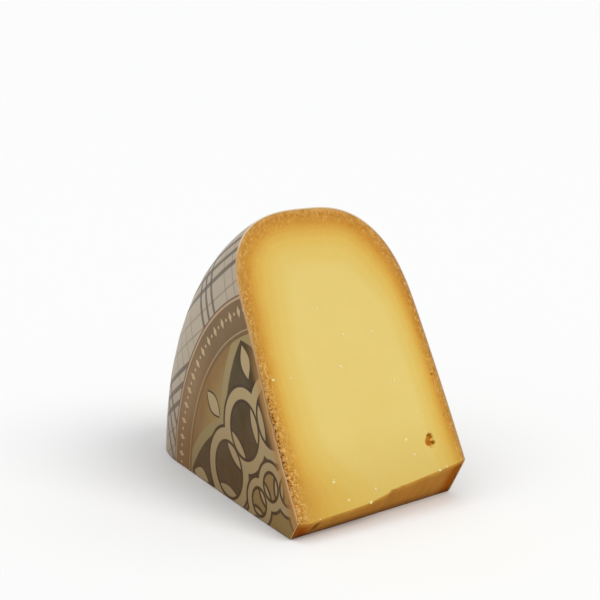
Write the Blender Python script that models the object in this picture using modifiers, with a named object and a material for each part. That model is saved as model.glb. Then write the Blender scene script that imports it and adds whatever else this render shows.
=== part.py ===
"""A wedge of hard cheese in its printed wrap, lying on one of its two cut faces.

The wedge is a sector of a round cheese whose axis runs along X. The printed side
faces -X, the plain side +X, the upright cut face leans back and faces -Y, and the
rim of the round cheese is at +Y. The origin is the middle of the box's base.
"""
import math

import bmesh
import bpy
import numpy as np
from mathutils import Matrix, Vector, noise

# Driving dimensions of the round cheese, in metres
WHEEL_RADIUS = 0.1874
WHEEL_THICKNESS = 0.120
PRINTED_FLAT_RADIUS = 0.129
PRINTED_FULLNESS = 2.83
PRINTED_DOME = 0.02
PLAIN_FLAT_RADIUS = 0.119
PLAIN_FULLNESS = 2.71
PLAIN_DOME = 0.127

# Driving dimensions of the cuts, in metres and radians
TIP_Y = -0.09347
AXIS_BEHIND_TIP = 0.008
AXIS_UNDER_CUT = 0.003
WEDGE_ANGLE = math.radians(58.3)
FRONT_SKEW = math.radians(2.06)
FRONT_FOOT_Y = TIP_Y - 0.0128
TIP_UNDERCUT = math.radians(32.0)
TIP_FOOT_SKEW = 0.0203

# Wrap, with the air under it, in metres
WRAP_THICKNESS = 0.0008
AIR_GAP = 0.0003
WRAP_OFF_TABLE = 0.0005

# Relief of the cut faces, in metres
RIND_BAND = 0.0085
CRUMB_FADE = 0.0028
CRUMB_DEPTH = 0.0014
CRUMB_SIZE = 0.0032
FACE_STEP = 0.004

# Lower edge of the front face in millimetres: place along it, and how far it hangs down there
LOWER_EDGE = ((0.0, 0.5), (3.4, 1.9), (8.0, 2.9), (20.0, 3.1), (33.0, 3.7), (47.0, 4.0),
              (60.0, 2.8), (61.6, 2.6), (63.6, 1.3), (75.0, 1.5), (93.0, 1.2), (109.0, 0.9),
              (120.5, 0.0))

# Facets, and how near a cut counts as on it
TURN_STEPS = 120
FLAT_RINGS = 5
SHOULDER_STEPS = 14
TIP_STRIPS = 40
FACE_COLUMNS = 31
FACE_ROWS = 46
ON_PLANE = 0.00001
CUT_DISTANCE = 0.0000005

# Places on the front face, from its lower corner at the printed side:
# along the lower edge, up the slope, and the radius of each lobe of the eye hole
EYE_LOBES = ((0.1038, 0.0202, 0.0021), (0.1032, 0.0156, 0.0031))
EYE_DEPTH = 0.9
EYE_TALLNESS = 1.2
# Gouge in the narrow tip face: along the foot, up the face and out of it, and half its sizes
GOUGE_PLACE = (0.0150, 0.0062, 0.0008)
GOUGE_HALF_SIZE = (0.0030, 0.0062, 0.0022)
GOUGE_LEAN = math.radians(-32)

COLLECTION = "cheese_wedge"
MILLIMETRES = 1000
HALF = WHEEL_THICKNESS / 2
AXIS_POINT = Vector((0.0, TIP_Y + AXIS_BEHIND_TIP, -AXIS_UNDER_CUT))


def clear_scene():
    """Remove whatever the file holds."""
    for existing in list(bpy.data.objects):
        bpy.data.objects.remove(existing, do_unlink=True)


def new_collection(name):
    """A collection under the scene."""
    collection = bpy.data.collections.new(name)
    bpy.context.scene.collection.children.link(collection)
    return collection


def principled(name, colour, roughness):
    """A plain Principled material."""
    material = bpy.data.materials.new(name)
    material.use_nodes = True
    shader = material.node_tree.nodes["Principled BSDF"]
    shader.inputs["Base Color"].default_value = (*colour, 1.0)
    shader.inputs["Roughness"].default_value = roughness
    shader.inputs["Metallic"].default_value = 0.0
    return material


def side_curve(flat_radius, fullness, dome):
    """(radius, height) from the flat middle to the rim over one side of the round cheese."""
    points = []
    for ring in range(1, FLAT_RINGS):
        radius = flat_radius * ring / FLAT_RINGS
        points.append((radius, HALF * (1 - dome * (radius / WHEEL_RADIUS) ** 2)))
    for step in range(SHOULDER_STEPS + 1):
        angle = math.pi / 2 * step / SHOULDER_STEPS
        across = math.sin(angle) ** (2 / fullness)
        rise = max(math.cos(angle), 0.0) ** (2 / fullness)
        radius = flat_radius + (WHEEL_RADIUS - flat_radius) * across
        points.append((radius, HALF * rise * (1 - dome * (radius / WHEEL_RADIUS) ** 2)))
    return points


def wheel_profile(inset):
    """Profile of the round cheese from its plain side to its printed side, set in evenly."""
    plain = side_curve(PLAIN_FLAT_RADIUS, PLAIN_FULLNESS, PLAIN_DOME)
    printed = side_curve(PRINTED_FLAT_RADIUS, PRINTED_FULLNESS, PRINTED_DOME)
    outline = [Vector(point) for point in plain[:-1]]
    outline += [Vector((radius, -height)) for radius, height in reversed(printed)]
    profile = []
    for index, point in enumerate(outline):
        before = outline[max(index - 1, 0)]
        after = outline[min(index + 1, len(outline) - 1)]
        along = (after - before).normalized()
        inward = Vector((along.y, -along.x))
        profile.append(point + inward * inset)
    return profile


def turned_wheel(name, inset):
    """The round cheese's closed skin, a profile turned about X with a flat middle."""
    mesh = bpy.data.meshes.new(name + "_profile")
    profile = wheel_profile(inset)
    vertices = [(point.x, 0.0, point.y) for point in profile]
    edges = [(index, index + 1) for index in range(len(profile) - 1)]
    mesh.from_pydata(vertices, edges, [])
    wheel = bpy.data.objects.new(name + "_profile", mesh)
    bpy.context.scene.collection.objects.link(wheel)
    screw = wheel.modifiers.new("turn", "SCREW")
    screw.axis = "Z"
    screw.angle = 2 * math.pi
    screw.steps = TURN_STEPS
    screw.render_steps = TURN_STEPS
    screw.use_merge_vertices = True
    screw.merge_threshold = 0.00001
    depsgraph = bpy.context.evaluated_depsgraph_get()
    turned = bpy.data.meshes.new_from_object(wheel.evaluated_get(depsgraph))
    bpy.data.objects.remove(wheel, do_unlink=True)
    turned.transform(Matrix.Translation(AXIS_POINT) @ Matrix.Rotation(math.pi / 2, 4, "Y"))
    work = bmesh.new()
    work.from_mesh(turned)
    bmesh.ops.holes_fill(work, edges=work.edges[:], sides=TURN_STEPS)
    bmesh.ops.recalc_face_normals(work, faces=work.faces[:])
    bpy.data.meshes.remove(turned)
    return work


def front_plane():
    """A point on the front cut and its outward normal."""
    normal = Vector((math.tan(FRONT_SKEW), -math.sin(WEDGE_ANGLE), math.cos(WEDGE_ANGLE)))
    return Vector((0.0, FRONT_FOOT_Y, 0.0)), normal.normalized()


def tip_plane():
    """The tip face's foot at the printed side, the foot's direction, and its outward normal."""
    foot = Vector((-HALF, TIP_Y, 0.0))
    along = Vector((WHEEL_THICKNESS, TIP_FOOT_SKEW, 0.0)).normalized()
    rise = Vector((0.0, -math.sin(TIP_UNDERCUT), math.cos(TIP_UNDERCUT)))
    return foot, along, along.cross(rise).normalized()


def front_axes():
    """Lower corner of the front face at the printed side, its lower edge and its slope."""
    point, normal = front_plane()
    foot, _, tip_normal = tip_plane()
    along = normal.cross(tip_normal).normalized()
    if along.x < 0:
        along.negate()
    slope = normal.cross(along).normalized()
    if slope.z < 0:
        slope.negate()
    rows = Matrix((normal, tip_normal, Vector((1.0, 0.0, 0.0))))
    corner = rows.inverted() @ Vector((normal.dot(point), tip_normal.dot(foot), -HALF))
    return corner, along, slope


def keep_behind(work, point, normal, fill):
    """Cut the mesh at a plane and keep what lies behind it, closed again if asked."""
    geometry = work.verts[:] + work.edges[:] + work.faces[:]
    cut = bmesh.ops.bisect_plane(
        work, geom=geometry, dist=CUT_DISTANCE, plane_co=point, plane_no=normal, clear_outer=True)
    if fill:
        rim = [part for part in cut["geom_cut"] if isinstance(part, bmesh.types.BMEdge)]
        bmesh.ops.contextual_create(work, geom=rim)


def split_face(work, point, normal, direction, step, count):
    """Split what lies on a plane into strips of one width across a direction."""
    for strip in range(1, count):
        faces = [face for face in work.faces
                 if all(abs((vert.co - point).dot(normal)) < ON_PLANE for vert in face.verts)]
        edges = {edge for face in faces for edge in face.edges}
        verts = {vert for face in faces for vert in face.verts}
        bmesh.ops.bisect_plane(
            work, geom=list(verts) + list(edges) + faces, dist=CUT_DISTANCE,
            plane_co=point + direction * (step * strip), plane_no=direction)


def drop_lower_edge(work):
    """Let the lower edge of the front face hang down unevenly, as it was broken off."""
    corner, along, slope = front_axes()
    _, normal = front_plane()
    _, _, tip_normal = tip_plane()
    places, drops = zip(*LOWER_EDGE)
    for vert in work.verts:
        offset = vert.co - corner
        if abs(offset.dot(normal)) < ON_PLANE and abs(offset.dot(tip_normal)) < ON_PLANE:
            place = offset.dot(along) * MILLIMETRES
            vert.co -= slope * (float(np.interp(place, places, drops)) / MILLIMETRES)


def rind_depth(point, profile):
    """Distance from a point in the cheese to its rind."""
    offset = point - AXIS_POINT
    place = Vector((math.hypot(offset.y, offset.z), -offset.x))
    nearest = WHEEL_RADIUS
    for start, end in zip(profile, profile[1:]):
        side = end - start
        share = min(max((place - start).dot(side) / side.length_squared, 0.0), 1.0)
        nearest = min(nearest, (place - start - side * share).length)
    return nearest


def crumble_rind(work, inset):
    """Divide the front face into a grid and sink it unevenly along the rind."""
    corner, along, slope = front_axes()
    _, normal = front_plane()
    low_corner = corner - slope * FACE_STEP * 2
    split_face(work, low_corner, normal, along, FACE_STEP, FACE_COLUMNS)
    split_face(work, low_corner, normal, slope, FACE_STEP, FACE_ROWS)
    profile = wheel_profile(inset)
    for vert in work.verts:
        if any(abs((face.calc_center_median() - corner).dot(normal)) > ON_PLANE
               for face in vert.link_faces):
            continue
        share = (RIND_BAND - rind_depth(vert.co, profile)) / CRUMB_FADE
        crumb = 0.5 + 0.5 * noise.noise(vert.co / CRUMB_SIZE)
        vert.co -= normal * (CRUMB_DEPTH * min(max(share, 0.0), 1.0) * crumb)


def round_cutter(name, centre, half_sizes, turn, collection):
    """An egg-shaped cutter that only shows as a wire."""
    mesh = bpy.data.meshes.new(name)
    work = bmesh.new()
    bmesh.ops.create_icosphere(work, subdivisions=2, radius=1.0)
    bmesh.ops.scale(work, vec=half_sizes, verts=work.verts)
    bmesh.ops.transform(work, matrix=Matrix.Translation(centre) @ turn, verts=work.verts)
    work.to_mesh(mesh)
    work.free()
    cutter = bpy.data.objects.new(name, mesh)
    cutter.hide_render = True
    cutter.display_type = "WIRE"
    collection.objects.link(cutter)
    return cutter


def frame_of(along, up, outward):
    """Rotation whose axes are the three given directions."""
    return Matrix((along, up, outward)).transposed().to_4x4()


def cut_out(target, cutter):
    """Take a cutter's shape out of an object."""
    boolean = target.modifiers.new(cutter.name, "BOOLEAN")
    boolean.operation = "DIFFERENCE"
    boolean.solver = "EXACT"
    boolean.object = cutter


def cut_eye_hole(cheese, collection):
    """The small eye hole low on the front face, of two lobes that run into each other."""
    corner, along, slope = front_axes()
    _, normal = front_plane()
    for index, (place, height, radius) in enumerate(EYE_LOBES):
        centre = corner + along * place + slope * height
        half_sizes = (radius, radius * EYE_TALLNESS, radius * EYE_DEPTH)
        turn = frame_of(along, slope, normal)
        cut_out(cheese, round_cutter(f"eye_cutter_{index}", centre, half_sizes, turn, collection))


def cut_gouge(cheese, collection):
    """The gouge in the narrow tip face."""
    foot, along, normal = tip_plane()
    up = normal.cross(along)
    place, height, outward = GOUGE_PLACE
    centre = foot + along * place + up * height + normal * outward
    turn = frame_of(along, up, normal) @ Matrix.Rotation(GOUGE_LEAN, 4, "Z")
    cut_out(cheese, round_cutter("gouge_cutter", centre, GOUGE_HALF_SIZE, turn, collection))


def build_cheese(collection, cutters):
    """Paste and rind in one solid."""
    inset = WRAP_THICKNESS + AIR_GAP
    work = turned_wheel("cheese", inset)
    foot, along, tip_normal = tip_plane()
    keep_behind(work, Vector((0.0, 0.0, 0.0)), Vector((0.0, 0.0, -1.0)), True)
    keep_behind(work, *front_plane(), True)
    keep_behind(work, foot, tip_normal, True)
    split_face(work, foot, tip_normal, along, WHEEL_THICKNESS / TIP_STRIPS, TIP_STRIPS)
    drop_lower_edge(work)
    crumble_rind(work, inset)
    bmesh.ops.triangulate(work, faces=work.faces[:])
    bmesh.ops.recalc_face_normals(work, faces=work.faces[:])
    mesh = bpy.data.meshes.new("cheese")
    work.to_mesh(mesh)
    work.free()
    mesh.materials.append(principled("cheese_paste", (0.76, 0.55, 0.15), 0.45))
    cheese = bpy.data.objects.new("cheese", mesh)
    collection.objects.link(cheese)
    cut_eye_hole(cheese, cutters)
    cut_gouge(cheese, cutters)
    return cheese


def build_wrap(collection):
    """The printed wrap over the printed side, the rim and the plain side."""
    work = turned_wheel("printed_wrap", 0.0)
    foot, _, tip_normal = tip_plane()
    keep_behind(work, Vector((0.0, 0.0, WRAP_OFF_TABLE)), Vector((0.0, 0.0, -1.0)), False)
    keep_behind(work, *front_plane(), False)
    keep_behind(work, foot, tip_normal, False)
    mesh = bpy.data.meshes.new("printed_wrap")
    work.to_mesh(mesh)
    work.free()
    mesh.shade_smooth()
    mesh.materials.append(principled("wrap_print", (0.52, 0.46, 0.38), 0.4))
    wrap = bpy.data.objects.new("printed_wrap", mesh)
    collection.objects.link(wrap)
    shell = wrap.modifiers.new("shell", "SOLIDIFY")
    shell.thickness = WRAP_THICKNESS
    shell.offset = -1.0
    shell.use_even_offset = True
    return wrap


def main():
    """Build the wedge."""
    clear_scene()
    parts = new_collection(COLLECTION)
    cutters = new_collection("cutters")
    build_cheese(parts, cutters)
    build_wrap(parts)


main()
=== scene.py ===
"""The looks of the cheese wedge: cut paste, crumbly rind, printed wrap, floor, light and camera."""
from math import atan2, ceil, copysign, cos, exp, hypot, pi, radians, sin, sqrt, tan

import bmesh
import bpy
import numpy as np
from mathutils import Matrix, Quaternion, Vector, geometry, kdtree, noise


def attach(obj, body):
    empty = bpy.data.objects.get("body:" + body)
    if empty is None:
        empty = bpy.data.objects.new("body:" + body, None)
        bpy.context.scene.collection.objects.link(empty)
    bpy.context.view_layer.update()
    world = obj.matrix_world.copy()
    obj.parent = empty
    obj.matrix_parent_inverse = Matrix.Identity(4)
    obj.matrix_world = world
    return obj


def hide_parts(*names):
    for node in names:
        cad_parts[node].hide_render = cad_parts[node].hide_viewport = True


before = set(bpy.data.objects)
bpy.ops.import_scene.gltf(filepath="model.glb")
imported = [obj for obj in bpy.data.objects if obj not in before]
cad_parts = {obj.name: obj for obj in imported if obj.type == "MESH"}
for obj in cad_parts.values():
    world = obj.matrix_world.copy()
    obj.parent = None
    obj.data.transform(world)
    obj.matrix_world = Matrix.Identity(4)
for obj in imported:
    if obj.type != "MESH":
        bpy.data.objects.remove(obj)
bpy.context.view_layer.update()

# The round cheese and the cuts, in metres and radians, as in the part's source
WHEEL_RADIUS = 0.1874
WHEEL_THICKNESS = 0.120
HALF = WHEEL_THICKNESS / 2
PRINTED_SIDE = (0.129, 2.83, 0.02)
PLAIN_SIDE = (0.119, 2.71, 0.127)
TIP_Y = -0.09347
AXIS_POINT = Vector((0.0, TIP_Y + 0.008, -0.003))
WEDGE_ANGLE = radians(58.3)
FRONT_SKEW = radians(2.06)
FRONT_FOOT_Y = TIP_Y - 0.0128
TIP_UNDERCUT = radians(32.0)
TIP_FOOT_SKEW = 0.0203
WRAP_THICKNESS = 0.0008
SKIN_GAP = 0.00005
WRAP_OFF_TABLE = 0.0005
CUT_DISTANCE = 0.0000005
ON_PLANE = 0.00001
RIND_INSET = WRAP_THICKNESS + SKIN_GAP

# Millimetres in a metre
MM = 1000

# Edges of the cut faces in millimetres: reach of the lower edge's sag, reach and depth of the
# rounding
EDGE_BLEND = 10.0
EDGE_ROUND = 0.9
EDGE_DRAW = 0.2

# Lower edge of the front face in millimetres: place along it, and how far it hangs down there
LOWER_EDGE = ((0.0, 0.5), (3.4, 1.9), (8.0, 2.9), (20.0, 3.1), (33.0, 3.7), (47.0, 4.0),
              (60.0, 2.8), (61.6, 2.6), (63.6, 1.3), (68.0, 1.7), (71.0, 1.3), (75.0, 1.5),
              (93.0, 1.2), (109.0, 0.9), (120.5, 0.0))

# How far the printed side swells out round the tip, in metres
SWELL = 0.0015
SWELL_RADIUS = 0.115

# How finely the surfaces are divided, in metres
FINE = 0.0004
OUTLINE_STEP = 0.0005
BAND = 0.0092
MIDDLE_BAND = 0.014
SPOT_RIM = 0.002
SHARP_ANGLE = radians(50)

# Spot that covers the whole tip face, in metres: its middle in the face, and its size
WHOLE_TIP = ((0.06, 0.01, 0.1),)

# Numbers that the paste's vertices carry for its colours; edge, crumb and hollow also carry painted
# highlights and painted shade
PASTE_LAYERS = ("rind_depth", "crumb", "hollow", "dry", "edge", "torn")

# Places on the front face in millimetres: along the lower edge, up the slope, and size
EYE_LOBES = ((104.0, 19.8, 2.3), (101.7, 16.7, 2.8), (104.9, 15.7, 1.2))
EYE_FOOT = (102.4, 13.9, 2.6)
SPECKS = ((11.4, 68.4, 0.7), (11.0, 56.4, 0.8), (9.6, 51.0, 0.7), (123.0, 53.8, 0.8))
CRYSTALS = (
    (65.1, 111.2, 0.6), (74.5, 92.3, 1.0), (79.0, 91.8, 0.5), (95.0, 89.0, 1.0),
    (64.5, 74.7, 1.4), (62.9, 76.6, 0.5), (29.8, 77.3, 0.7), (18.9, 79.3, 1.0),
    (95.4, 57.0, 1.1), (102.4, 35.6, 0.6), (87.2, 22.6, 1.1), (88.7, 13.0, 0.9),
    (30.4, 14.2, 1.1), (31.2, 15.4, 0.6), (35.3, 4.3, 0.9), (48.5, 0.2, 1.0),
    (54.7, 4.3, 0.9), (101.2, 0.4, 0.9), (106.8, 0.9, 0.7), (13.2, 0.7, 0.5),
)
EYE_CRUMB = (103.8, 17.6)

# Dish round the eye hole: its middle on the front face, and half its width and height
EYE_DISH = (102.4, 16.6, 4.4, 6.8)
EYE_DEPTH = 2.4

# Scratches on the front face: where each starts and ends
SCRATCHES = ((62.0, 2.5, 80.0, 13.5), (72.0, 5.0, 78.0, 16.0), (76.5, 6.0, 83.0, 19.0),
             (30.0, 7.0, 42.0, 1.5), (44.0, 74.6, 84.0, 75.6))

# Gouge in the narrow tip face: its middle there, and half its width and height
GOUGE = (13.2, 7.6, 2.4, 5.4)
GOUGE_DEPTH = 2.2
GOUGE_LEAN = radians(9)

# Crumbs and crystals: stretched along, across and up; sizes are radii in metres for size 1
CRYSTAL_SHAPE = (1.0, 0.75, 0.32)
CRYSTAL_RADIUS = 0.00105
CRUMB_SHAPE = (1.7, 0.7, 0.7)
EYE_CRUMB_SHAPE = (1.0, 0.75, 0.7)
FLAKE_LEAN = radians(-58)
CRUMB_FIELD = (138.0, 166.0)
CRUMB_TRIES = 12000
CRUMB_SEED = 11


def srgb(red, green, blue):
    """A colour given as the screen shows it, made linear."""
    return tuple(
        part / 12.92 if part <= 0.04045 else ((part + 0.055) / 1.055) ** 2.4
        for part in (red / 255, green / 255, blue / 255))


def ease(start, end, value):
    """0 before start, 1 after end, eased between them."""
    share = min(max((value - start) / (end - start), 0.0), 1.0)
    return share * share * (3 - 2 * share)


def bell(distance, radius):
    """1 in the middle of a round spot, 0 from its radius on."""
    return 1 - ease(0.0, 1.0, distance / radius)


def spot_bell(along, up, spot, scale=1.0):
    """1 in the middle of a spot given by its place and size, 0 outside it."""
    x, y, size = spot
    return bell(hypot(along - x, up - y), size * scale)


def oval_reach(along, up, oval):
    """Distance from the middle of an oval, 1 on its rim."""
    x, y, half_width, half_height = oval
    return hypot((along - x) / half_width, (up - y) / half_height)


def turned(x, y, angle):
    """A place in axes that are turned by an angle."""
    return (x * cos(angle) + y * sin(angle),
            y * cos(angle) - x * sin(angle))


def cloud(x, y, seed):
    """Smooth random value about 0 at a place."""
    return noise.noise(Vector((x, y, seed)))


# Form of the round cheese

def swell(place):
    """A place on the round cheese moved out where the printed side swells round the tip."""
    offset = place - AXIS_POINT
    share = max(1 - offset.yz.length_squared / SWELL_RADIUS ** 2, 0.0)
    share *= ease(0.030, HALF, -offset.x)
    return Vector((place.x - SWELL * share, place.y, place.z))


def side_curve(side, rings, steps):
    """(radius, height) from the flat middle to the rim over one side of the round cheese."""
    flat_radius, fullness, dome = side
    points = []
    for ring in range(1, rings):
        radius = flat_radius * ring / rings
        points.append((radius, HALF * (1 - dome * (radius / WHEEL_RADIUS) ** 2)))
    for step in range(steps + 1):
        angle = pi / 2 * step / steps
        across = sin(angle) ** (2 / fullness)
        rise = max(cos(angle), 0.0) ** (2 / fullness)
        radius = flat_radius + (WHEEL_RADIUS - flat_radius) * across
        points.append((radius, HALF * rise * (1 - dome * (radius / WHEEL_RADIUS) ** 2)))
    return points


def wheel_profile(inset, rings, steps):
    """Profile of the round cheese from its plain side to its printed side, set in evenly."""
    outline = [Vector(point) for point in side_curve(PLAIN_SIDE, rings, steps)[:-1]]
    outline += [Vector((radius, -height))
                for radius, height in reversed(side_curve(PRINTED_SIDE, rings, steps))]
    profile = []
    for index, point in enumerate(outline):
        before = outline[max(index - 1, 0)]
        after = outline[min(index + 1, len(outline) - 1)]
        along = (after - before).normalized()
        profile.append(point + Vector((along.y, -along.x)) * inset)
    return profile


def add_object(name, data):
    """A new object in the scene."""
    made = bpy.data.objects.new(name, data)
    bpy.context.scene.collection.objects.link(made)
    return made


def turned_wheel(inset, rings, steps, turns):
    """The round cheese's skin, a profile turned about X with a flat middle."""
    mesh = bpy.data.meshes.new("profile")
    profile = wheel_profile(inset, rings, steps)
    edges = [(index, index + 1) for index in range(len(profile) - 1)]
    mesh.from_pydata([(point.x, 0.0, point.y) for point in profile], edges, [])
    wheel = add_object("profile", mesh)
    screw = wheel.modifiers.new("turn", "SCREW")
    screw.axis = "Z"
    screw.angle = 2 * pi
    screw.steps = turns
    screw.render_steps = turns
    screw.use_merge_vertices = True
    screw.merge_threshold = 0.00001
    depsgraph = bpy.context.evaluated_depsgraph_get()
    turned = bpy.data.meshes.new_from_object(wheel.evaluated_get(depsgraph))
    bpy.data.objects.remove(wheel, do_unlink=True)
    turned.transform(Matrix.Translation(AXIS_POINT) @ Matrix.Rotation(pi / 2, 4, "Y"))
    work = bmesh.new()
    work.from_mesh(turned)
    bmesh.ops.holes_fill(work, edges=work.edges[:], sides=turns)
    bmesh.ops.recalc_face_normals(work, faces=work.faces[:])
    bpy.data.meshes.remove(turned)
    return work


class Profile:
    """The round cheese's profile as a chain of straight pieces, to measure against."""

    def __init__(self, inset):
        points = wheel_profile(inset, rings=40, steps=80)
        self.points = np.array([(0.0, HALF - inset)] + [tuple(point) for point in points]
                               + [(0.0, inset - HALF)])
        lengths = np.hypot(*np.diff(self.points, axis=0).T)
        self.lengths = np.concatenate([[0.0], np.cumsum(lengths)])

    def measure(self, places):
        """Distance from each place to the profile, and where along it the nearest point is."""
        offset = places - np.array(AXIS_POINT)
        flat = np.stack([np.hypot(offset[:, 1], offset[:, 2]), offset[:, 0]], axis=1)
        nearest = np.full(len(places), WHEEL_RADIUS)
        along = np.zeros(len(places))
        for index in range(len(self.points) - 1):
            start = self.points[index]
            side = self.points[index + 1] - start
            share = np.clip((flat - start) @ side / (side @ side), 0.0, 1.0)
            distance = np.hypot(*(flat - start - share[:, None] * side).T)
            closer = distance < nearest
            nearest = np.where(closer, distance, nearest)
            length = self.lengths[index] + share * np.hypot(*side)
            along = np.where(closer, length, along)
        return nearest, along

    def depths(self, places):
        """Depth of places under the skin, below 0 outside it."""
        offset = places - np.array(AXIS_POINT)
        radius = np.hypot(offset[:, 1], offset[:, 2])
        roofs = []
        for sign in (1, -1):
            side = self.points[self.points[:, 1] * sign >= 0]
            side = side[np.argsort(side[:, 0])]
            roofs.append(np.interp(radius, side[:, 0], abs(side[:, 1])))
        roof = np.where(offset[:, 0] > 0, *roofs)
        inside = (radius < self.points[:, 0].max()) & (abs(offset[:, 0]) < roof)
        return np.where(inside, 1, -1) * self.measure(places)[0]


# The three cuts

class Cut:
    """A flat cut face: a corner, two directions in it and the way it faces."""

    def __init__(self, corner, along, slope, normal):
        self.corner = corner
        self.along = along
        self.slope = slope
        self.normal = normal

    def holds(self, place):
        """Whether a place lies on the cut."""
        return abs((place - self.corner).dot(self.normal)) < ON_PLANE

    def flat(self, place):
        """Millimetres along and up the cut."""
        offset = (place - self.corner) * MM
        return offset.dot(self.along), offset.dot(self.slope)

    def point(self, along, up):
        """The place at so many millimetres along and up the cut."""
        return self.corner + (self.along * along + self.slope * up) / MM


def make_cuts():
    """The front face, the narrow tip face and the face that the wedge lies on."""
    front_normal = Vector((tan(FRONT_SKEW), -sin(WEDGE_ANGLE), cos(WEDGE_ANGLE)))
    front_normal.normalize()
    foot = Vector((-HALF, TIP_Y, 0.0))
    foot_along = Vector((WHEEL_THICKNESS, TIP_FOOT_SKEW, 0.0)).normalized()
    rise = Vector((0.0, -sin(TIP_UNDERCUT), cos(TIP_UNDERCUT)))
    tip_normal = foot_along.cross(rise).normalized()
    along = front_normal.cross(tip_normal).normalized()
    along *= copysign(1.0, along.x)
    slope = front_normal.cross(along).normalized()
    slope *= copysign(1.0, slope.z)
    front_point = Vector((0.0, FRONT_FOOT_Y, 0.0))
    rows = Matrix((front_normal, tip_normal, Vector((1.0, 0.0, 0.0))))
    corner = rows.inverted() @ Vector((front_normal.dot(front_point), tip_normal.dot(foot), -HALF))
    front = Cut(corner, along, slope, front_normal)
    tip = Cut(foot, foot_along, tip_normal.cross(foot_along).normalized(), tip_normal)
    base = Cut(Vector((0.0, 0.0, 0.0)), Vector((1.0, 0.0, 0.0)), Vector((0.0, -1.0, 0.0)),
               Vector((0.0, 0.0, -1.0)))
    return front, tip, base


FRONT, TIP, BASE = make_cuts()


def keep_behind(work, point, normal, fill):
    """Cut the mesh at a plane and keep what lies behind it, closed again if asked."""
    everything = work.verts[:] + work.edges[:] + work.faces[:]
    cut = bmesh.ops.bisect_plane(
        work, geom=everything, dist=CUT_DISTANCE, plane_co=point, plane_no=normal,
        clear_outer=True)
    if fill:
        rim = [part for part in cut["geom_cut"] if isinstance(part, bmesh.types.BMEdge)]
        bmesh.ops.contextual_create(work, geom=rim)


def face_on(work, cut):
    """The one face that fills a cut."""
    near = [face for face in work.faces if all(cut.holds(vert.co) for vert in face.verts)]
    return max(near, key=lambda face: face.calc_area())


def split_outline(work, face):
    """Divide a face's outline into short edges."""
    for edge in list(face.edges):
        cuts = ceil(edge.calc_length() / OUTLINE_STEP) - 1
        if cuts > 0:
            bmesh.ops.subdivide_edges(work, edges=[edge], cuts=cuts)


def scattered_points(outline, fine, spots):
    """A triangular grid inside an outline, fine near it and in the spots, coarser elsewhere."""
    tree = kdtree.KDTree(len(outline))
    for index, (across, up) in enumerate(outline):
        tree.insert((across, up, 0.0), index)
    tree.balance()
    low = np.min(outline, axis=0)
    high = np.max(outline, axis=0)
    row_step = fine * sqrt(0.75)
    points = []
    for row in range(1, int((high[1] - low[1]) / row_step)):
        up = low[1] + row * row_step
        for column in range(int((high[0] - low[0]) / fine)):
            across = low[0] + (column + 0.5 * (row % 2)) * fine
            on_coarse = row % 4 == 0 and column % 4 == 0
            on_middle = row % 2 == 0 and column % 2 == 0
            near = min((hypot(across - x, up - y) - size for x, y, size in spots),
                       default=BAND)
            distance = tree.find((across, up, 0.0))[2]
            wanted = (on_coarse or distance < BAND or near < 0.0
                      or on_middle and (distance < MIDDLE_BAND or near < SPOT_RIM))
            if wanted and distance >= fine * 0.6:
                points.append((across, up))
    return points


def refine_face(work, cut, fine, spots=()):
    """Fill a cut's outline with small triangles; returns the vertices it then has."""
    face = face_on(work, cut)
    outline = list(face.verts)
    flat = [((vert.co - cut.corner).dot(cut.along), (vert.co - cut.corner).dot(cut.slope))
            for vert in outline]
    inner = scattered_points(flat, fine, spots)
    coords = [Vector(point) for point in flat + inner]
    places, _, triangles, sources, _, _ = geometry.delaunay_2d_cdt(
        coords, [], [list(range(len(flat)))], 1, 1e-8)
    bmesh.ops.delete(work, geom=[face], context="FACES_ONLY")
    used = {index for triangle in triangles for index in triangle}
    verts = {}
    for index in used:
        known = [source for source in sources[index] if source < len(outline)]
        if known:
            verts[index] = outline[known[0]]
        else:
            place = places[index]
            verts[index] = work.verts.new(cut.corner + cut.along * place.x + cut.slope * place.y)
    for triangle in triangles:
        work.faces.new([verts[index] for index in triangle])
    return list(verts.values())


# Relief of the paste

def edge_drop(along):
    """How far the front face's lower edge hangs below a straight cut, all in millimetres."""
    ragged = 0.22 * cloud(along * 0.7, 0.0, 3.0)
    ragged *= ease(0.0, 4.0, along) * ease(0.0, 4.0, WHEEL_THICKNESS * MM - along)
    return float(np.interp(along, *zip(*LOWER_EDGE))) + ragged


def drop_lower_edge(verts):
    """Move the lower edge of the front face down, and the faces on both sides with it."""
    moves = []
    for vert in verts:
        if FRONT.holds(vert.co):
            along, up = FRONT.flat(vert.co)
            share = 1 - ease(0.0, EDGE_BLEND, up)
        elif TIP.holds(vert.co):
            along, up = TIP.flat(vert.co)
            share = min(max(up / tip_height(along), 0.0), 1.0)
        else:
            continue
        if vert.co.z > WRAP_OFF_TABLE + ON_PLANE:
            moves.append((vert, FRONT.slope * (edge_drop(along) * share / MM)))
    for vert, move in moves:
        vert.co -= move


def tip_height(along):
    """Height of the narrow tip face in millimetres at a place along its foot."""
    left = TIP.flat(FRONT.corner)[1]
    right = TIP.flat(FRONT.point(WHEEL_THICKNESS * MM, 0.0))[1]
    return left + (right - left) * along / (WHEEL_THICKNESS * MM)


def crags(along, up, seed):
    """Torn, slanting flakes of crumbly rind, from -1 to 1."""
    lean = FLAKE_LEAN + 0.7 * cloud(along / 14, up / 14, seed + 3)
    length, width = turned(along, up, lean)
    ridge = 1 - 2.4 * abs(cloud(length / 1.6, width / 0.8, seed))
    grain = cloud(length / 0.8, width / 0.55, seed + 7)
    lump = cloud(along / 2.6, up / 2.6, seed + 11)
    return max(min(0.42 * ridge + 0.75 * grain + 0.35 * lump, 1.0), -1.0)


def band_strength(depth, width):
    """How crumbly the rind's band is at a depth in millimetres."""
    return 1 - ease(width - 2.5, width + 1.2, depth)


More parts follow.
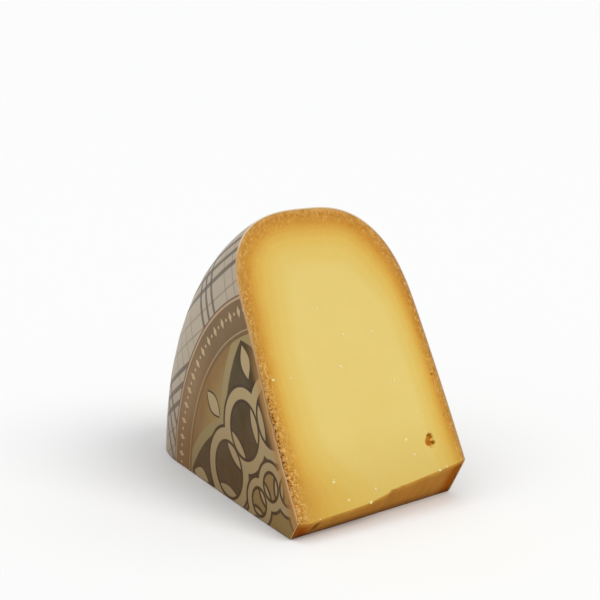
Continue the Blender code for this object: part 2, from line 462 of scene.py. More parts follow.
def colour_depth(along, up, depth):
    """Depth that sets the paste's colour: the deep orange rim is widest at the top."""
    top = ease(80.0, 140.0, up)
    plain = ease(50.0, 90.0, along)
    foot = 1 - ease(0.0, 50.0, up)
    side = 0.42 * plain - 0.68 * foot * (1 - plain)
    return depth * (1.3 + side * (1 - top) - top * (0.3 + 0.08 * plain))


def side_width(along, up):
    """Width of the crumbly band in millimetres: widest at the top, narrow at the plain side."""
    top = ease(110.0, 150.0, up)
    plain = ease(70.0, 100.0, along)
    foot = 1 - ease(35.0, 70.0, up)
    upper = ease(75.0, 100.0, up)
    side = 1.6 * foot * (1 - plain) - 1.6 * plain - 1.2 * upper
    return 6.4 + side * (1 - top) + 2.4 * top


def torn_share(along, up):
    """How torn the rind's band is: most at the printed side, least round the top."""
    top = ease(125.0, 150.0, up)
    upper = ease(75.0, 105.0, up)
    plain = ease(70.0, 100.0, along)
    return 1 - 0.45 * top - (0.25 * upper * (1 - plain) + 0.3 * plain) * (1 - top)


def eye_hollow(along, up):
    """How deep a place lies in the eye hole, whose round lobes run into each other."""
    total = 0.0
    for x, y, size in EYE_LOBES:
        total += exp(-1.3 * ((along - x) ** 2 + (up - y) ** 2) / size ** 2)
    ragged = 1 + 0.3 * cloud(along / 1.2, up / 1.2, 8.0)
    return ease(0.28, 0.72, total * ragged)


def front_marks(along, up):
    """Depth in millimetres and hollow of the eye hole, the specks and the scratches."""
    hollow = eye_hollow(along, up)
    foot = spot_bell(along, up, EYE_FOOT)
    depth = EYE_DEPTH * hollow + 0.7 * foot + 0.35 * bell(oval_reach(along, up, EYE_DISH), 1.0)
    hollow = max(hollow, 0.42 * foot)
    for spot in SPECKS:
        speck = spot_bell(along, up, spot, 1.5)
        depth += 1.5 * speck
        hollow = max(hollow, 0.8 * speck)
    for x0, y0, x1, y1 in SCRATCHES:
        line = Vector((x1 - x0, y1 - y0))
        offset = Vector((along - x0, up - y0))
        share = min(max(offset.dot(line) / line.length_squared, 0.0), 1.0)
        gap = (offset - line * share).length
        depth += 0.09 * bell(gap, 0.9) * sin(pi * share)
    return depth, hollow


def front_relief(along, up, depth):
    """Height in millimetres, crumb height and hollow of a place on the front face."""
    torn = torn_share(along, up)
    strength = band_strength(depth, side_width(along, up) + 1.3 * cloud(along / 5, up / 5, 1.0))
    crumb = crags(along, up, 0.0) * torn
    loose = ease(6.0, 20.0, up) * (1 - ease(60.0, 90.0, up)) * (along < 60.0)
    rim = loose * (1 - ease(1.0, 3.0, depth))
    pit = ease(0.38, 0.6, cloud(along / 2.2, up / 2.2, 4.0)) * torn ** 4
    pit = max(pit, rim * ease(0.10, 0.35, cloud(along, up / 1.5, 6.0)))
    height = strength * (0.36 * crumb - 0.06)
    height -= (0.12 + 0.4 * loose) * (1 - ease(0.0, 1.8, depth))
    height -= (0.4 + 0.7 * rim) * strength * pit
    height += 0.10 * cloud(along / 30, up / 45, 2.0)
    height += 0.035 * cloud(along / 1.6, up / 40, 5.0) * (1 - strength)
    crumb -= (0.4 + 0.8 * rim) * pit
    marks, hollow = front_marks(along, up)
    return height - marks, 0.5 + 0.5 * max(crumb, -1.0) * strength, hollow


def tip_relief(along, up, depth):
    """Height in millimetres, crumb height and hollow of a place on the narrow tip face."""
    strength = band_strength(depth, 8.0)
    crumb = crags(along, up * 1.6, 20.0)
    height = strength * (0.30 * crumb - 0.08) - 0.35 * (1 - ease(0.0, 1.6, depth))
    height += 0.16 * cloud(along / 9, up / 5, 21.0)
    height += 0.07 * cloud(along / 2.2, up / 1.3, 22.0)
    x, y, half_width, half_height = GOUGE
    sideways, upwards = turned(along - x, up - y, -GOUGE_LEAN)
    ragged = 1 + 0.2 * cloud(along / 2, up / 2, 23.0)
    reach = hypot(sideways / half_width, upwards / half_height) / ragged
    gouge = 1 - ease(0.3, 1.1, reach)
    return height - GOUGE_DEPTH * gouge, 0.5 + 0.5 * crumb * strength, gouge


def round_edge(distance):
    """How far a face draws back at a rounded edge, in millimetres."""
    share = 1 - min(max(distance / EDGE_ROUND, 0.0), 1.0)
    return EDGE_DRAW * share * share


def eye_lip(along, up):
    """How much a place on the front face lies on the lip round the eye hole, which is painted pale
    as a highlight.
    """
    return bell(abs(oval_reach(along, up, EYE_DISH) - 0.95), 0.3)


def note(vert, layers, **values):
    """Set numbers that a vertex carries for the colours."""
    for name, value in values.items():
        vert[layers[name]] = value


def shape_paste(work, front_verts, tip_verts, depths):
    """Push the cut faces in and out, and note crumb, hollow and dryness for the colours."""
    layers = work.verts.layers.float
    shared = set(front_verts) & set(tip_verts)
    moves = []
    for vert in front_verts:
        along, up = FRONT.flat(vert.co)
        edge = up + edge_drop(along)
        height, crumb, hollow = front_relief(along, up, depths[vert.index])
        band = band_strength(depths[vert.index], side_width(along, up) + 1.0)
        calm = ease(0.0, 1.2, edge)
        # the edge number paints a highlight: a pale line along the front face's lower edge and a
        # pale ring on the eye hole's lip
        note(vert, layers, crumb=crumb, hollow=hollow, torn=band * torn_share(along, up),
             edge=max(1 - ease(0.2, 1.3, edge), 0.4 * eye_lip(along, up)))
        moves.append((vert, FRONT.normal * ((height * calm - round_edge(edge)) / MM)))
    for vert in tip_verts:
        along, up = TIP.flat(vert.co)
        height, crumb, hollow = tip_relief(along, up, depths[vert.index])
        edge = max(tip_height(along) - up - 0.7 * edge_drop(along), 0.0)
        calm = ease(0.0, 1.0, up) * ease(0.0, 1.0, edge)
        if vert not in shared:
            # the tip's edge number paints light: paler within 5 mm of the front edge
            note(vert, layers, crumb=crumb, hollow=hollow, dry=1.0,
                 edge=1 - ease(0.0, 5.0, edge))
        moves.append((vert, TIP.normal * ((height * calm - round_edge(edge)) / MM)))
    for vert, move in moves:
        if vert.co.z > ON_PLANE:
            vert.co += move


def build_paste(material):
    """Paste and rind with every crag, the eye hole and the gouge as real relief."""
    work = turned_wheel(RIND_INSET, rings=12, steps=44, turns=180)
    for cut in (BASE, FRONT, TIP):
        keep_behind(work, cut.corner, cut.normal, True)
    for cut in (FRONT, TIP, BASE):
        split_outline(work, face_on(work, cut))
    for name in PASTE_LAYERS:
        work.verts.layers.float.new(name)
    spots = [(x / MM, y / MM, size / MM + margin)
             for group, margin in ((EYE_LOBES, 0.0012), (SPECKS, 0.001)) for x, y, size in group]
    front_verts = refine_face(work, FRONT, FINE, spots)
    tip_verts = refine_face(work, TIP, FINE * 1.2, WHOLE_TIP)
    refine_face(work, BASE, FINE * 3)
    work.verts.index_update()
    places = np.array([vert.co for vert in work.verts])
    depths = Profile(RIND_INSET).measure(places)[0] * MM
    depth_layer = work.verts.layers.float["rind_depth"]
    for vert in work.verts:
        vert[depth_layer] = depths[vert.index]
    for vert in front_verts:
        vert[depth_layer] = colour_depth(*FRONT.flat(vert.co), depths[vert.index])
    drop_lower_edge(work.verts)
    shape_paste(work, front_verts, tip_verts, depths)
    for vert in work.verts:
        vert.co = swell(vert.co)
    split_large_faces(work)
    bmesh.ops.recalc_face_normals(work, faces=work.faces[:])
    return finish_mesh("cheese_paste", work, [material])


def split_large_faces(work):
    """Triangles in place of faces with more than four corners."""
    bmesh.ops.triangulate(work, faces=[face for face in work.faces if len(face.verts) > 4])


def finish_mesh(name, work, materials):
    """Turn worked geometry into a smooth-shaded object."""
    mesh = bpy.data.meshes.new(name)
    work.to_mesh(mesh)
    work.free()
    for material in materials:
        mesh.materials.append(material)
    mesh.shade_smooth()
    mesh.set_sharp_from_angle(angle=SHARP_ANGLE)
    return add_object(name, mesh)


def add_pebble(work, centre, radius, turn, shape):
    """A small uneven lump half sunk in the front face, turned from its lower edge."""
    made = bmesh.ops.create_icosphere(work, subdivisions=2, radius=radius)["verts"]
    lying = Matrix((FRONT.along, FRONT.slope, FRONT.normal)).transposed().to_quaternion()
    rotation = lying @ Quaternion((0.0, 0.0, 1.0), turn)
    length, width, height = shape
    for vert in made:
        rough = 1 + 0.35 * noise.noise(vert.co / radius * 1.3 + centre * 900)
        x, y, z = vert.co
        vert.co = centre + rotation @ Vector((x * rough * length, y * rough * width, z * height))


def build_crystals(material):
    """The pale ripening crystals that dot the front face."""
    work = bmesh.new()
    for index, (along, up, size) in enumerate(CRYSTALS):
        height = front_relief(along, up, 30.0)[0]
        centre = FRONT.point(along, up) + FRONT.normal * ((height - 0.02) / MM)
        share = 1 - ease(0.0, EDGE_BLEND, up)
        centre -= FRONT.slope * (edge_drop(along) * share / MM)
        add_pebble(work, centre, size * CRYSTAL_RADIUS, index * 1.3, CRYSTAL_SHAPE)
    return finish_mesh("crystals", work, [material])


def build_crumbs(material):
    """Loose crumbs that cling to the rind's band on the front face, and one in the eye hole."""
    work = bmesh.new()
    rng = np.random.default_rng(CRUMB_SEED)
    spots = rng.uniform((0.0, 0.0), CRUMB_FIELD, (CRUMB_TRIES, 2))
    places = [FRONT.point(along, up) for along, up in spots]
    depths = Profile(RIND_INSET).depths(np.array(places)) * MM
    for (along, up), place, depth in zip(spots, places, depths):
        size = rng.triangular(0.14, 0.2, 0.5)
        turn = FLAKE_LEAN + rng.normal(0.0, 0.4)
        reach = rng.uniform(0.3, 1.0) * (side_width(along, up) - 1.0)
        if depth < 0.6 or depth > reach or rng.uniform() > torn_share(along, up) ** 2:
            continue
        height = front_relief(along, up, depth)[0]
        centre = swell(place + FRONT.normal * ((height + 0.05 * size) / MM))
        add_pebble(work, centre, size / MM, turn, CRUMB_SHAPE)
    in_eye = FRONT.point(*EYE_CRUMB) - FRONT.normal * 0.0002
    add_pebble(work, in_eye, CRYSTAL_RADIUS, 0.4, EYE_CRUMB_SHAPE)
    return finish_mesh("rind_crumbs", work, [material])


# The printed wrap

def film_lift(place, up, gap):
    """How far the film stands off the rind, in millimetres."""
    wave = 0.14 + 0.14 * noise.noise(place * 42) + 0.10 * noise.noise(place * 105)
    crease = max(cloud(place.x * 160, place.y * 45, place.z * 45) - 0.15, 0.0)
    shoulder = ease(0.145, 0.170, (place - AXIS_POINT).yz.length)
    lift = (wave + 0.55 * crease * shoulder) * ease(0.0, 8.0, gap)
    loose = ease(8.0, 20.0, up) * (1 - ease(58.0, 78.0, up)) * (place.x < 0)
    lift += loose * (1 - ease(0.0, 6.0, gap)) * (0.45 + 0.5 * noise.noise(place * 160))
    return max(lift, 0.0)


def lay_out_print(work):
    """Note each vertex's place in the print, laid out from the wheel's axis on both sides."""
    profile = Profile(0.0)
    along = profile.measure(np.array([vert.co for vert in work.verts]))[1]
    rim = profile.measure(np.array([AXIS_POINT + Vector((0.0, WHEEL_RADIUS, 0.0))]))[1][0]
    total = profile.lengths[-1]
    layer = work.verts.layers.float_vector.new("print_place")
    for vert in work.verts:
        length = along[vert.index]
        reach = length / rim * (total - rim) if length < rim else total - length
        offset = vert.co - AXIS_POINT
        turn = atan2(offset.z, offset.y)
        vert[layer] = Vector((reach * cos(turn), reach * sin(turn), offset.x)) * MM


def build_wrap(film, cut_edge):
    """The film over both sides and the rim, a little loose on the rind."""
    work = turned_wheel(0.0, rings=64, steps=52, turns=360)
    over_table = Vector((0.0, 0.0, WRAP_OFF_TABLE))
    for point, cut in ((over_table, BASE), (FRONT.corner, FRONT), (TIP.corner, TIP)):
        keep_behind(work, point, cut.normal, False)
    split_large_faces(work)
    work.normal_update()
    work.verts.index_update()
    lay_out_print(work)
    gap_layer = work.verts.layers.float.new("cut_gap")
    lifts = []
    for vert in work.verts:
        gap = -(vert.co - FRONT.corner).dot(FRONT.normal) * MM
        vert[gap_layer] = gap
        lifts.append(film_lift(vert.co.copy(), FRONT.flat(vert.co)[1], gap))
    drop_lower_edge(work.verts)
    for vert, lift in zip(work.verts, lifts):
        vert.co = swell(vert.co + vert.normal * (lift / MM))
    wrap = finish_mesh("printed_film", work, [film, cut_edge])
    shell = wrap.modifiers.new("shell", "SOLIDIFY")
    shell.thickness = WRAP_THICKNESS
    shell.offset = -1.0
    shell.use_even_offset = True
    shell.material_offset_rim = 1
    return wrap


# Materials

SOFT_GLOSS = 0.12
FILM_GLOSS = 0.06


def set_inputs(node, values):
    """Fixed values on a node's sockets."""
    for name, value in values.items():
        node.inputs[name].default_value = value


class Value:
    """A number that varies over a surface, so that node formulas read as written."""

    def __init__(self, tree, socket):
        self.tree = tree
        self.socket = socket

    def math(self, operation, *others):
        """A Math node on this number and others."""
        node = self.tree.nodes.new("ShaderNodeMath")
        node.operation = operation
        for socket, value in zip(node.inputs, (self, *others)):
            plug(self.tree, value, socket)
        return Value(self.tree, node.outputs[0])

    def __add__(self, other):
        return self.math("ADD", other)

    def __sub__(self, other):
        return self.math("SUBTRACT", other)

    def __mul__(self, other):
        return self.math("MULTIPLY", other)

    def __truediv__(self, other):
        return self.math("DIVIDE", other)

    def __abs__(self):
        return self.math("ABSOLUTE")

    def inverse(self):
        """One less this number."""
        return self.math("MULTIPLY_ADD", -1.0, 1.0)

    def eased(self, low, high):
        """0 below one bound, 1 above the other, smooth between; the bounds may be swapped."""
        node = self.tree.nodes.new("ShaderNodeMapRange")
        node.interpolation_type = "SMOOTHSTEP"
        plug(self.tree, self, node.inputs["Value"])
        rising = low < high
        set_inputs(node, {"From Min": min(low, high), "From Max": max(low, high),
                          "To Min": float(not rising), "To Max": float(rising)})
        return Value(self.tree, node.outputs["Result"])

    def line(self, centre, half_width, soft=0.3):
        """1 within half a line's width of its centre."""
        return abs(self - centre).eased(half_width + soft, half_width - soft)

    def between(self, low, high, soft=0.3):
        """1 between two bounds."""
        return self.eased(low - soft, low + soft) * self.eased(high + soft, high - soft)


def plug(tree, value, socket):
    """Link a varying value to a socket, or set a fixed one."""
    if isinstance(value, Value):
        tree.links.new(value.socket, socket)
    elif isinstance(value, bpy.types.NodeSocket):
        tree.links.new(value, socket)
    else:
        socket.default_value = value


def paint(tree, below, colour, mask):
    """A colour laid over another where a mask says."""
    node = tree.nodes.new("ShaderNodeMix")
    node.data_type = "RGBA"
    plug(tree, mask, node.inputs["Factor"])
    for socket, value in ((node.inputs["A"], below), (node.inputs["B"], colour)):
        plug(tree, (*value, 1.0) if isinstance(value, tuple) else value, socket)
    return node.outputs["Result"]


def attribute(tree, name):
    """A named attribute of the mesh: its number and its vector."""
    node = tree.nodes.new("ShaderNodeAttribute")
    node.attribute_name = name
    return Value(tree, node.outputs["Fac"]), node.outputs["Vector"]


def object_place(tree):
    """A point's place in the object's own coordinates."""
    return tree.nodes.new("ShaderNodeTexCoord").outputs["Object"]


def axes(tree, place):
    """The three numbers of a place."""
    split = tree.nodes.new("ShaderNodeSeparateXYZ")
    tree.links.new(place, split.inputs["Vector"])
    return [Value(tree, socket) for socket in split.outputs]


def noise_value(tree, scale, detail=3.0, stretch=(1.0, 1.0, 1.0)):
    """Cloudy noise in the object's own coordinates, from 0 to 1."""
    mapping = tree.nodes.new("ShaderNodeMapping")
    set_inputs(mapping, {"Scale": stretch})
    texture = tree.nodes.new("ShaderNodeTexNoise")
    set_inputs(texture, {"Scale": scale, "Detail": detail, "Roughness": 0.55})
    tree.links.new(object_place(tree), mapping.inputs["Vector"])
    tree.links.new(mapping.outputs["Vector"], texture.inputs["Vector"])
    return Value(tree, texture.outputs["Fac"])


def floor_height(tree):
    """Height over the floor in metres."""
    return axes(tree, object_place(tree))[2]


def new_material(name, roughness, gloss=SOFT_GLOSS):
    """A material with an empty Principled shader."""
    material = bpy.data.materials.new(name)
    material.use_nodes = True
    shader = material.node_tree.nodes["Principled BSDF"]
    set_inputs(shader, {"Roughness": roughness, "Specular IOR Level": gloss})
    return material, material.node_tree, shader


def add_bump(tree, shader, height, distance, strength):
    """A fine relief too small to model."""
    bump = tree.nodes.new("ShaderNodeBump")
    set_inputs(bump, {"Strength": strength, "Distance": distance})
    plug(tree, height, bump.inputs["Height"])
    tree.links.new(bump.outputs["Normal"], shader.inputs["Normal"])


# Colour of the paste by its depth from the rind in millimetres
PASTE_DEPTHS = (
    (0.0, (187, 138, 78)), (2.5, (183, 127, 53)), (5.0, (198, 141, 56)), (8.0, (206, 149, 58)),
    (10.5, (212, 160, 66)), (13.0, (217, 172, 78)), (18.0, (222, 185, 92)),
    (26.0, (225, 195, 107)), (38.0, (228, 203, 121)),
)

# Light that each side of the wedge gets: its strength, and the pale gloss on top of the colour
CUT_LIGHT = (1.23, 0.02)
TIP_LIGHT = (0.82, 0.003)
SHADE_LIGHT = (0.84, 0.0275)


def lit(colour, light):
    """A surface colour that looks as given once the scene's light falls on it."""
    strength, gloss = light
    return tuple(min(max((part - gloss) / strength, 0.004), 1.0) for part in srgb(*colour))


def coats(tree, light, base, *layers):
    """A colour with others laid over it where their masks say, all as they look in one light."""
    colour = lit(base, light) if isinstance(base, tuple) else base
    for tone, mask in layers:
        colour = paint(tree, colour, lit(tone, light), mask)
    return colour


def depth_colours(tree, depth):
    """The paste's colour from rind to heart."""
    ramp = tree.nodes.new("ShaderNodeValToRGB")
    ramp.color_ramp.interpolation = "EASE"
    span = PASTE_DEPTHS[-1][0]
    stops = ramp.color_ramp.elements
    while len(stops) < len(PASTE_DEPTHS):
        stops.new(0.5)
    for stop, (place, colour) in zip(stops, PASTE_DEPTHS):
        stop.position = place / span
        stop.color = (*lit(colour, CUT_LIGHT), 1.0)
    tree.links.new((depth / span).socket, ramp.inputs["Fac"])
    return ramp.outputs["Color"]


def dried_colour(tree, depth, edge, gouge):
    """The narrow tip face: brown at the rind, darker towards the foot with a painted contact shadow
    along it (painted shade), and paler towards the front edge (painted light); the gouge darkened
    with painted shade.
    """
    height = floor_height(tree)
    rind = depth.eased(13.0, 3.0)
    streaks = noise_value(tree, 240.0, 3.0, (1.0, 0.25, 0.25)).eased(0.4, 0.7)
    return coats(
        tree, TIP_LIGHT, (128, 86, 44),
        # painted shade: the tip face lighter from 6 mm up and darker towards its foot
        ((157, 108, 47), height.eased(0.0012, 0.0060)),
        ((130, 66, 18), rind),
        # painted shade: the rind end darker near the foot
        ((98, 52, 22), rind * height.eased(0.006, 0.001) * 0.8),
        # painted light: the tip face paler within 5 mm of its front edge, where the rounded edge
        # catches light
        ((186, 138, 58), edge * 0.55),
        # painted shade: the gouge darkened in its hollow
        ((84, 46, 10), gouge * 0.9),
        ((130, 88, 40), streaks * 0.35),
        # painted contact shadow: a dark line along the lowest 1.2 mm of the tip face
        ((84, 54, 30), height.eased(0.0012, 0.0002) * 0.6))


def cut_colour(tree, band, depth, crumb, hollow, edge, torn):
    """The front face: yellow heart, orange rim and crumbly rind, by the numbers it carries, with
    painted highlights on raised crumbs, the lower edge and the eye hole's lip, and painted shade in
    the pits and the eye hole.
    """
    height = floor_height(tree)
    crown = height.eased(0.125, 0.155)
    low = height.eased(0.060, 0.0) * depth.eased(1.0, 5.0)
    wander = (noise_value(tree, 60.0) - 0.5) * 3.0
    smear = noise_value(tree, 170.0).eased(0.38, 0.62)
    mottle = noise_value(tree, 420.0, 2.0, (1.0, 0.8, 0.6))
    fleck = noise_value(tree, 760.0, 2.0, (1.0, 0.7, 0.5)) - 0.5
    # pale: painted highlight on raised crumbs mixed with random pale flecks; deep: painted shade in
    # the pits mixed with random dark flecks
    pale = (crumb + fleck * 1.3).eased(0.58, 0.88) * torn
    deep = (crumb + fleck * 1.1).eased(0.45, 0.20) * torn
    clouds = noise_value(tree, 26.0, 4.0).eased(0.35, 0.7)
    grain = noise_value(tree, 1500.0, 2.0).eased(0.52, 0.72)
    return coats(
        tree, CUT_LIGHT, depth_colours(tree, depth + wander * depth.eased(0.0, 12.0)),
        ((203, 140, 48), crown * band * 0.25),
        ((222, 172, 88), crown * depth.eased(3.4, 0.4) * smear * 0.5),
        ((224, 168, 96), mottle.eased(0.5, 0.66) * depth.eased(7.0, 1.5) * 0.45),
        ((190, 124, 40), mottle.eased(0.5, 0.34) * band * 0.5),
        # painted highlight on raised crumbs and painted shade in the pits, with random flecks
        ((238, 188, 118), pale * 0.8),
        ((158, 90, 30), deep * 0.85),
        ((218, 186, 98), clouds * 0.16),
        ((236, 212, 134), grain * band.inverse() * 0.22),
        ((205, 170, 82), low * 0.6),
        # painted highlight: pale along the lower edge and on the eye hole's lip
        ((230, 194, 104), edge * 0.24),
        # the eye hole, its foot and the specks painted a deeper orange: partly the paste's own tone
        # there, partly painted shade in the hollows
        ((204, 138, 24), hollow.eased(0.15, 0.7)))


def add_scatter(shader, weight, radius, scale):
    """Light scattered under the surface."""
    set_inputs(shader, {"Subsurface Weight": weight, "Subsurface Radius": radius,
                        "Subsurface Scale": scale})


def paste_material():
    """Cut cheese: pale yellow heart, orange towards the rind, crumbs and a dry tip."""
    material, tree, shader = new_material("paste", 0.46)
    depth, crumb, hollow, dry, edge, torn = (attribute(tree, name)[0] for name in PASTE_LAYERS)
    band = depth.eased(9.5, 6.5)
    colour = cut_colour(tree, band, depth, crumb, hollow, edge, torn)
    colour = paint(tree, colour, dried_colour(tree, depth, edge, hollow), dry)
    plug(tree, colour, shader.inputs["Base Color"])
    plug(tree, dry.inverse() * SOFT_GLOSS, shader.inputs["Specular IOR Level"])
    add_scatter(shader, 0.22, (1.0, 0.6, 0.25), 0.003)
    fine = noise_value(tree, 1900.0) * (band * 0.8 + 0.25)
    wire = noise_value(tree, 520.0, 2.0, (1.0, 0.03, 0.03)) * 0.35
    add_bump(tree, shader, fine + wire, 0.00035, 0.5)
    return material


def plain_material(name, colour, roughness, spread):
    """A slightly uneven plain colour with light scattered under its surface."""
    material, tree, shader = new_material(name, roughness)
    patches = noise_value(tree, 900.0, 2.0).eased(0.3, 0.7)
    darker = tuple(part * 0.82 for part in colour)
    tree.links.new(paint(tree, colour, darker, patches * spread), shader.inputs["Base Color"])
    add_scatter(shader, 0.3, (1.0, 0.7, 0.4), 0.0015)
    return material


def film_edge_material():
    """The film's cut edge: cream round the top, a painted highlight; dull half way down, painted
    shade; a pale tan line low down, a painted highlight.
    """
    material, tree, shader = new_material("film_edge", 0.5, FILM_GLOSS)
    across, _, height = axes(tree, object_place(tree))
    patches = noise_value(tree, 400.0, 2.0).eased(0.35, 0.65)
    colour = coats(
        tree, CUT_LIGHT, (196, 166, 130),
        ((180, 140, 100), patches * 0.5),
        # painted shade: duller half way down, where the film stands off the rind
        ((148, 122, 92), height.between(0.052, 0.092, 0.012) * 0.85),
        # painted highlight: a pale tan line low down
        ((208, 166, 113), height.eased(0.042, 0.012)),
        ((190, 152, 110), across.eased(-0.005, 0.025)),
        # painted highlight: cream round the top, the film's grazing reflection
        ((228, 204, 174), height.eased(0.140, 0.156)))
    plug(tree, colour, shader.inputs["Base Color"])
    return material


# Layout of the print in millimetres, about the round cheese's axis
TARTAN_TURN = radians(57)
TARTAN_WARP = (-19.5, 88.5, 8.7, 28.2, 39.0)
TARTAN_WEFT = (166.3, 49.3, 8.0, 20.0, 29.5)
TARTAN_INK = (92, 84, 74)
TARTAN_THREAD = (126, 112, 98)
RING_OUTER = 139.3
RING_INNER = 117.0
RING_BORDER = 1.2
RING_MIDDLE = 130.5
RING_MOTIFS = 72
RIM_MOTIFS = 36
RIM_INK = (86, 82, 62)
LOBES = 6
LOBE_TURN = radians(63)
LOBE_SLOPE = 62.0
HOOPS = 12
INNER_HOOPS = 10
LEAVES = 12
LEAF_SPAN = (92.0, 112.0)

# Lines that border the ring: radius, half the width, and colour
RING_LINES = (
    (RING_INNER, 0.5, (112, 86, 60)), (RING_INNER + 2.2, 0.35, (170, 146, 112)),
    (RING_OUTER - 2.6, 0.45, (118, 96, 76)), (RING_OUTER - RING_BORDER, 0.8, (176, 152, 126)),
    (RING_OUTER, 0.5, (112, 92, 76)),
)


def stripes(place, layout):
    """Thick triple stripes with a pair of thin lines between them; returns both masks."""
    start, period, spacing, thin_a, thin_b = layout
    away = (place - start).math("PINGPONG", period / 2)
    thick = away.line(0.0, 1.5).math("MAXIMUM", away.line(spacing, 1.5))
    thin = away.line(thin_a, 0.5, 0.25).math("MAXIMUM", away.line(thin_b, 0.5, 0.25))
    return thick, thin


def tartan(tree, x, y):
    """The woven check of the wrap."""
    along, across = turned(x, y, TARTAN_TURN)
    thick_a, thin_a = stripes(across, TARTAN_WARP)
    thick_b, thin_b = stripes(along, TARTAN_WEFT)
    return coats(
        tree, SHADE_LIGHT, (170, 157, 139),
        (TARTAN_THREAD, thin_a * 0.6), (TARTAN_THREAD, thin_b * 0.6),
        (TARTAN_INK, thick_a * 0.8), (TARTAN_INK, thick_b * 0.8))


def folded_turn(turn, count, start):
    """Angle from the nearest of so many spokes, in radians."""
    return (turn - start).math("PINGPONG", pi / count)


def distance(x, y):
    """Distance from the origin."""
    return (x * x + y * y).math("SQRT")


def off_spoke(radius, turn, count, start):
    """A place in axes that lie along the nearest of so many spokes."""
    away = folded_turn(turn, count, start)
    return radius * away.math("COSINE"), radius * away.math("SINE")


def chain(tree, below, radius, turn, count, start, middle, hoop_radius, half_width):
    """A ring of interlaced cream hoops with dark outlines."""
    x, y = off_spoke(radius, turn, count, start)
    step = 2 * pi / count
    for centre in (step, 0.0):
        reach = distance(x - middle * cos(centre), y - middle * sin(centre))
        stroke = abs(reach - hoop_radius) - half_width
        below = coats(tree, SHADE_LIGHT, below, ((70, 58, 44), stroke.eased(2.3, 1.6)),
                      ((162, 142, 106), stroke.eased(0.3, -0.3)))
    return below


def leaves(tree, below, radius, turn):
    """Pale pointed leaves with dark outlines, on the lobes and between them."""
    start, end = LEAF_SPAN
    x, y = off_spoke(radius, turn, LEAVES, LOBE_TURN)
    share = ((x - start) / (end - start)).math("MINIMUM", 1.0).math("MAXIMUM", 0.0)
    blade = abs(y) - (share * pi).math("SINE") * 5.2
    onto = radius.between(start, end)
    return coats(tree, SHADE_LIGHT, below, ((72, 62, 52), blade.eased(1.7, 1.1) * onto),
                 ((166, 146, 110), blade.eased(0.25, -0.25) * onto))


def medallion(tree, radius, turn):
    """A generic round label: lobed fields, hoops, leaves and a ring of lozenges."""
    reach = radius + folded_turn(turn, LOBES, LOBE_TURN) * LOBE_SLOPE
    colour = coats(
        tree, SHADE_LIGHT, (118, 88, 54),
        ((146, 122, 80), radius.eased(8.0, 96.0)),
        ((130, 98, 62), radius.eased(96.0, 114.0) * 0.85),
        ((146, 130, 92), reach.line(119.0, 4.0, 0.8)),
        ((78, 66, 46), reach.eased(115.5, 114.5)),
        ((140, 118, 78), radius.eased(47.0, 44.0)))
    colour = chain(tree, colour, radius, turn, HOOPS, LOBE_TURN - 0.26, 68.0, 21.5, 3.4)
    colour = chain(tree, colour, radius, turn, INNER_HOOPS, LOBE_TURN, 30.0, 11.5, 2.3)
    colour = leaves(tree, colour, radius, turn)
    return ring_band(tree, colour, radius, turn)


def ring_motifs(radius, turn):
    """Lozenges round the ring with a dot between each two."""
    off_middle = radius - RING_MIDDLE
    on_spoke = folded_turn(turn, RING_MOTIFS, 0.0) * radius
    between = folded_turn(turn, RING_MOTIFS, pi / RING_MOTIFS) * radius
    lozenge = (on_spoke / 1.9 + abs(off_middle) / 3.4).eased(1.1, 0.9)
    return lozenge.math("MAXIMUM", distance(between, off_middle).eased(1.2, 0.8))


def ring_band(tree, below, radius, turn):
    """The tan ring with cream lozenges and dots, between thin borders."""
    band = radius.between(RING_INNER, RING_OUTER - RING_BORDER)
    inner = band * radius.eased(RING_INNER + 10, RING_INNER + 2)
    upper = turn.eased(radians(24), radians(50)) * band
    lower = turn.eased(radians(24), radians(4)) * band
    return coats(
        tree, SHADE_LIGHT, below,
        ((137, 112, 84), band),
        ((126, 98, 66), inner * 0.8),
        ((106, 88, 68), upper * 0.6),
        # darker, warmer brown low on the ring: partly the print's tone, partly painted shade
        ((124, 90, 54), lower * 0.45),
        ((196, 172, 136), ring_motifs(radius, turn) * 0.75),
        *((tone, radius.line(place, half_width, 0.25) * 0.85)
          for place, half_width, tone in RING_LINES))


def rim_band(tree, below, across, turn):
    """The pale gold band round the rim with dark borders and small generic motifs."""
    reach = WHEEL_RADIUS * MM
    away = abs(across)
    spot = folded_turn(turn, RIM_MOTIFS, 0.0) * reach
    between = folded_turn(turn, RIM_MOTIFS, pi / RIM_MOTIFS) * reach
    flower = (spot / 7.0 + away / 9.0).eased(1.05, 0.95)
    heart = (spot / 4.2 + away / 5.4).eased(1.05, 0.95)
    return coats(
        tree, SHADE_LIGHT, below,
        ((186, 168, 124), away.eased(19.3, 18.7)),
        ((206, 192, 156), away.eased(12.0, 4.0) * 0.8),
        (RIM_INK, away.line(18.2, 0.9)),
        (RIM_INK, away.line(15.6, 0.4)),
        ((104, 96, 70), flower * 0.9),
        ((214, 198, 160), heart),
        ((140, 52, 36), distance(between, away).eased(2.2, 1.8) * 0.85))


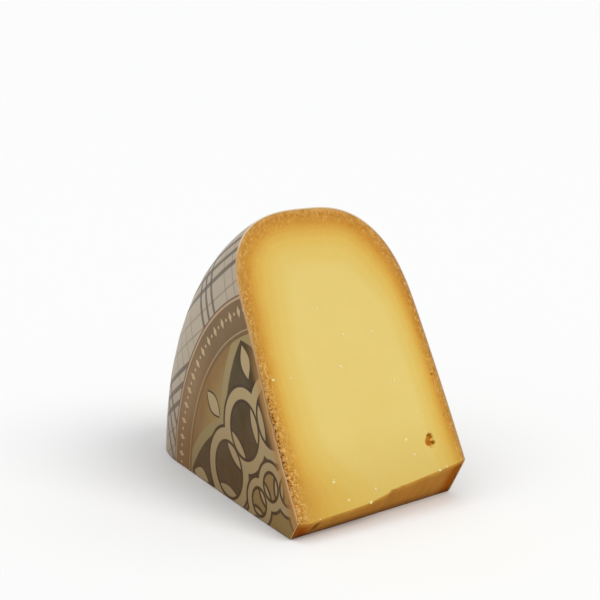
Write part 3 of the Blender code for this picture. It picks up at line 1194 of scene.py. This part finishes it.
def film_material():
    """Printed, slightly glossy film, with painted shade towards the floor on the printed side."""
    material, tree, shader = new_material("printed_film", 0.34, FILM_GLOSS)
    x, y, across = axes(tree, attribute(tree, "print_place")[1])
    gap = attribute(tree, "cut_gap")[0]
    radius = distance(x, y)
    turn = y.math("ARCTAN2", x)
    inside = radius.eased(RING_OUTER + 0.7, RING_OUTER + 0.3)
    colour = paint(tree, tartan(tree, x, y), medallion(tree, radius, turn), inside)
    fade = noise_value(tree, 34.0, 4.0).eased(0.3, 0.75)
    soaked = gap.eased(10.0, 2.0) * radius.eased(126.0, 70.0) * 0.85 + gap.eased(2.4, 0.4) * 0.15
    # painted shade: the printed side darker and warmer below 85 mm, towards the floor
    painted_low_shade = floor_height(tree).eased(0.085, 0.0) * across.eased(-40.0, -52.0)
    colour = coats(
        tree, SHADE_LIGHT, rim_band(tree, colour, across, turn),
        ((150, 134, 114), fade * 0.10),
        ((170, 128, 80), soaked),
        ((204, 164, 116), gap.eased(1.4, 0.3) * 0.6),
        # painted shade low on the printed side
        ((100, 74, 46), painted_low_shade * 0.32))
    plug(tree, colour, shader.inputs["Base Color"])
    ripple = noise_value(tree, 130.0) + noise_value(tree, 900.0, 2.0) * 0.12
    add_bump(tree, shader, ripple, 0.0006, 0.35)
    return material


# Floor, light and camera

FLOOR_SIZE = 24.0
FLOOR_COLOUR = (0.79, 0.79, 0.785, 1.0)
SKY_COLOUR = (0.97, 0.985, 1.0, 1.0)
SKY_STRENGTH = 0.70


def build_floor():
    """A pale floor that fills the view."""
    bpy.ops.mesh.primitive_plane_add(size=FLOOR_SIZE, location=(0.0, 0.0, 0.0))
    floor = bpy.context.object
    floor.name = "floor"
    material, _, shader = new_material("floor", 0.9, 0.1)
    set_inputs(shader, {"Base Color": FLOOR_COLOUR})
    floor.data.materials.append(material)


def add_sun(name, towards, strength, spread, colour):
    """A soft light from far away."""
    light = bpy.data.lights.new(name, "SUN")
    light.energy = strength
    light.angle = radians(spread)
    light.color = colour
    add_object(name, light).rotation_euler = Vector(towards).to_track_quat("Z", "Y").to_euler()


def light_scene():
    """Soft studio light from the front right and above, with pale light all round."""
    world = bpy.data.worlds.new("studio")
    world.use_nodes = True
    set_inputs(world.node_tree.nodes["Background"],
               {"Color": SKY_COLOUR, "Strength": SKY_STRENGTH})
    bpy.context.scene.world = world
    add_sun("key", (0.30, -0.58, 0.76), 1.5, 34.0, (1.0, 0.985, 0.96))
    add_sun("top", (-0.40, -0.05, 0.92), 0.7, 60.0, (0.98, 0.98, 1.0))
    bpy.context.scene.view_settings.view_transform = "Standard"


CAMERA_PLACE = Vector((-0.47986, -0.72099 + TIP_Y, 0.33922))
CAMERA_FORWARD = Vector((0.49223, 0.83762, -0.23688))
CAMERA_ROLL = 0.0072
FOCAL_PIXELS = 1617.0
IMAGE_WIDTH = 600


def add_camera():
    """The camera, where the photo was taken from."""
    data = bpy.data.cameras.new("camera")
    data.sensor_width = 36.0
    data.lens = FOCAL_PIXELS / IMAGE_WIDTH * data.sensor_width
    camera = add_object("camera", data)
    turn = CAMERA_FORWARD.to_track_quat("-Z", "Y") @ Quaternion((0.0, 0.0, 1.0), CAMERA_ROLL)
    camera.location = CAMERA_PLACE
    camera.rotation_euler = turn.to_euler()
    bpy.context.scene.camera = camera


def main():
    """Dress the wedge."""
    paste = build_paste(paste_material())
    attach(paste, "root")
    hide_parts("cheese")
    crystal_look = plain_material("crystals", lit((242, 222, 158), CUT_LIGHT), 0.4, 0.3)
    crumb_look = plain_material("crumbs", lit((228, 174, 98), CUT_LIGHT), 0.6, 0.8)
    for piece in (build_crystals(crystal_look), build_crumbs(crumb_look)):
        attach(piece, "root")
    wrap = build_wrap(film_material(), film_edge_material())
    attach(wrap, "root")
    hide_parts("printed_wrap")
    build_floor()
    light_scene()
    add_camera()


main()
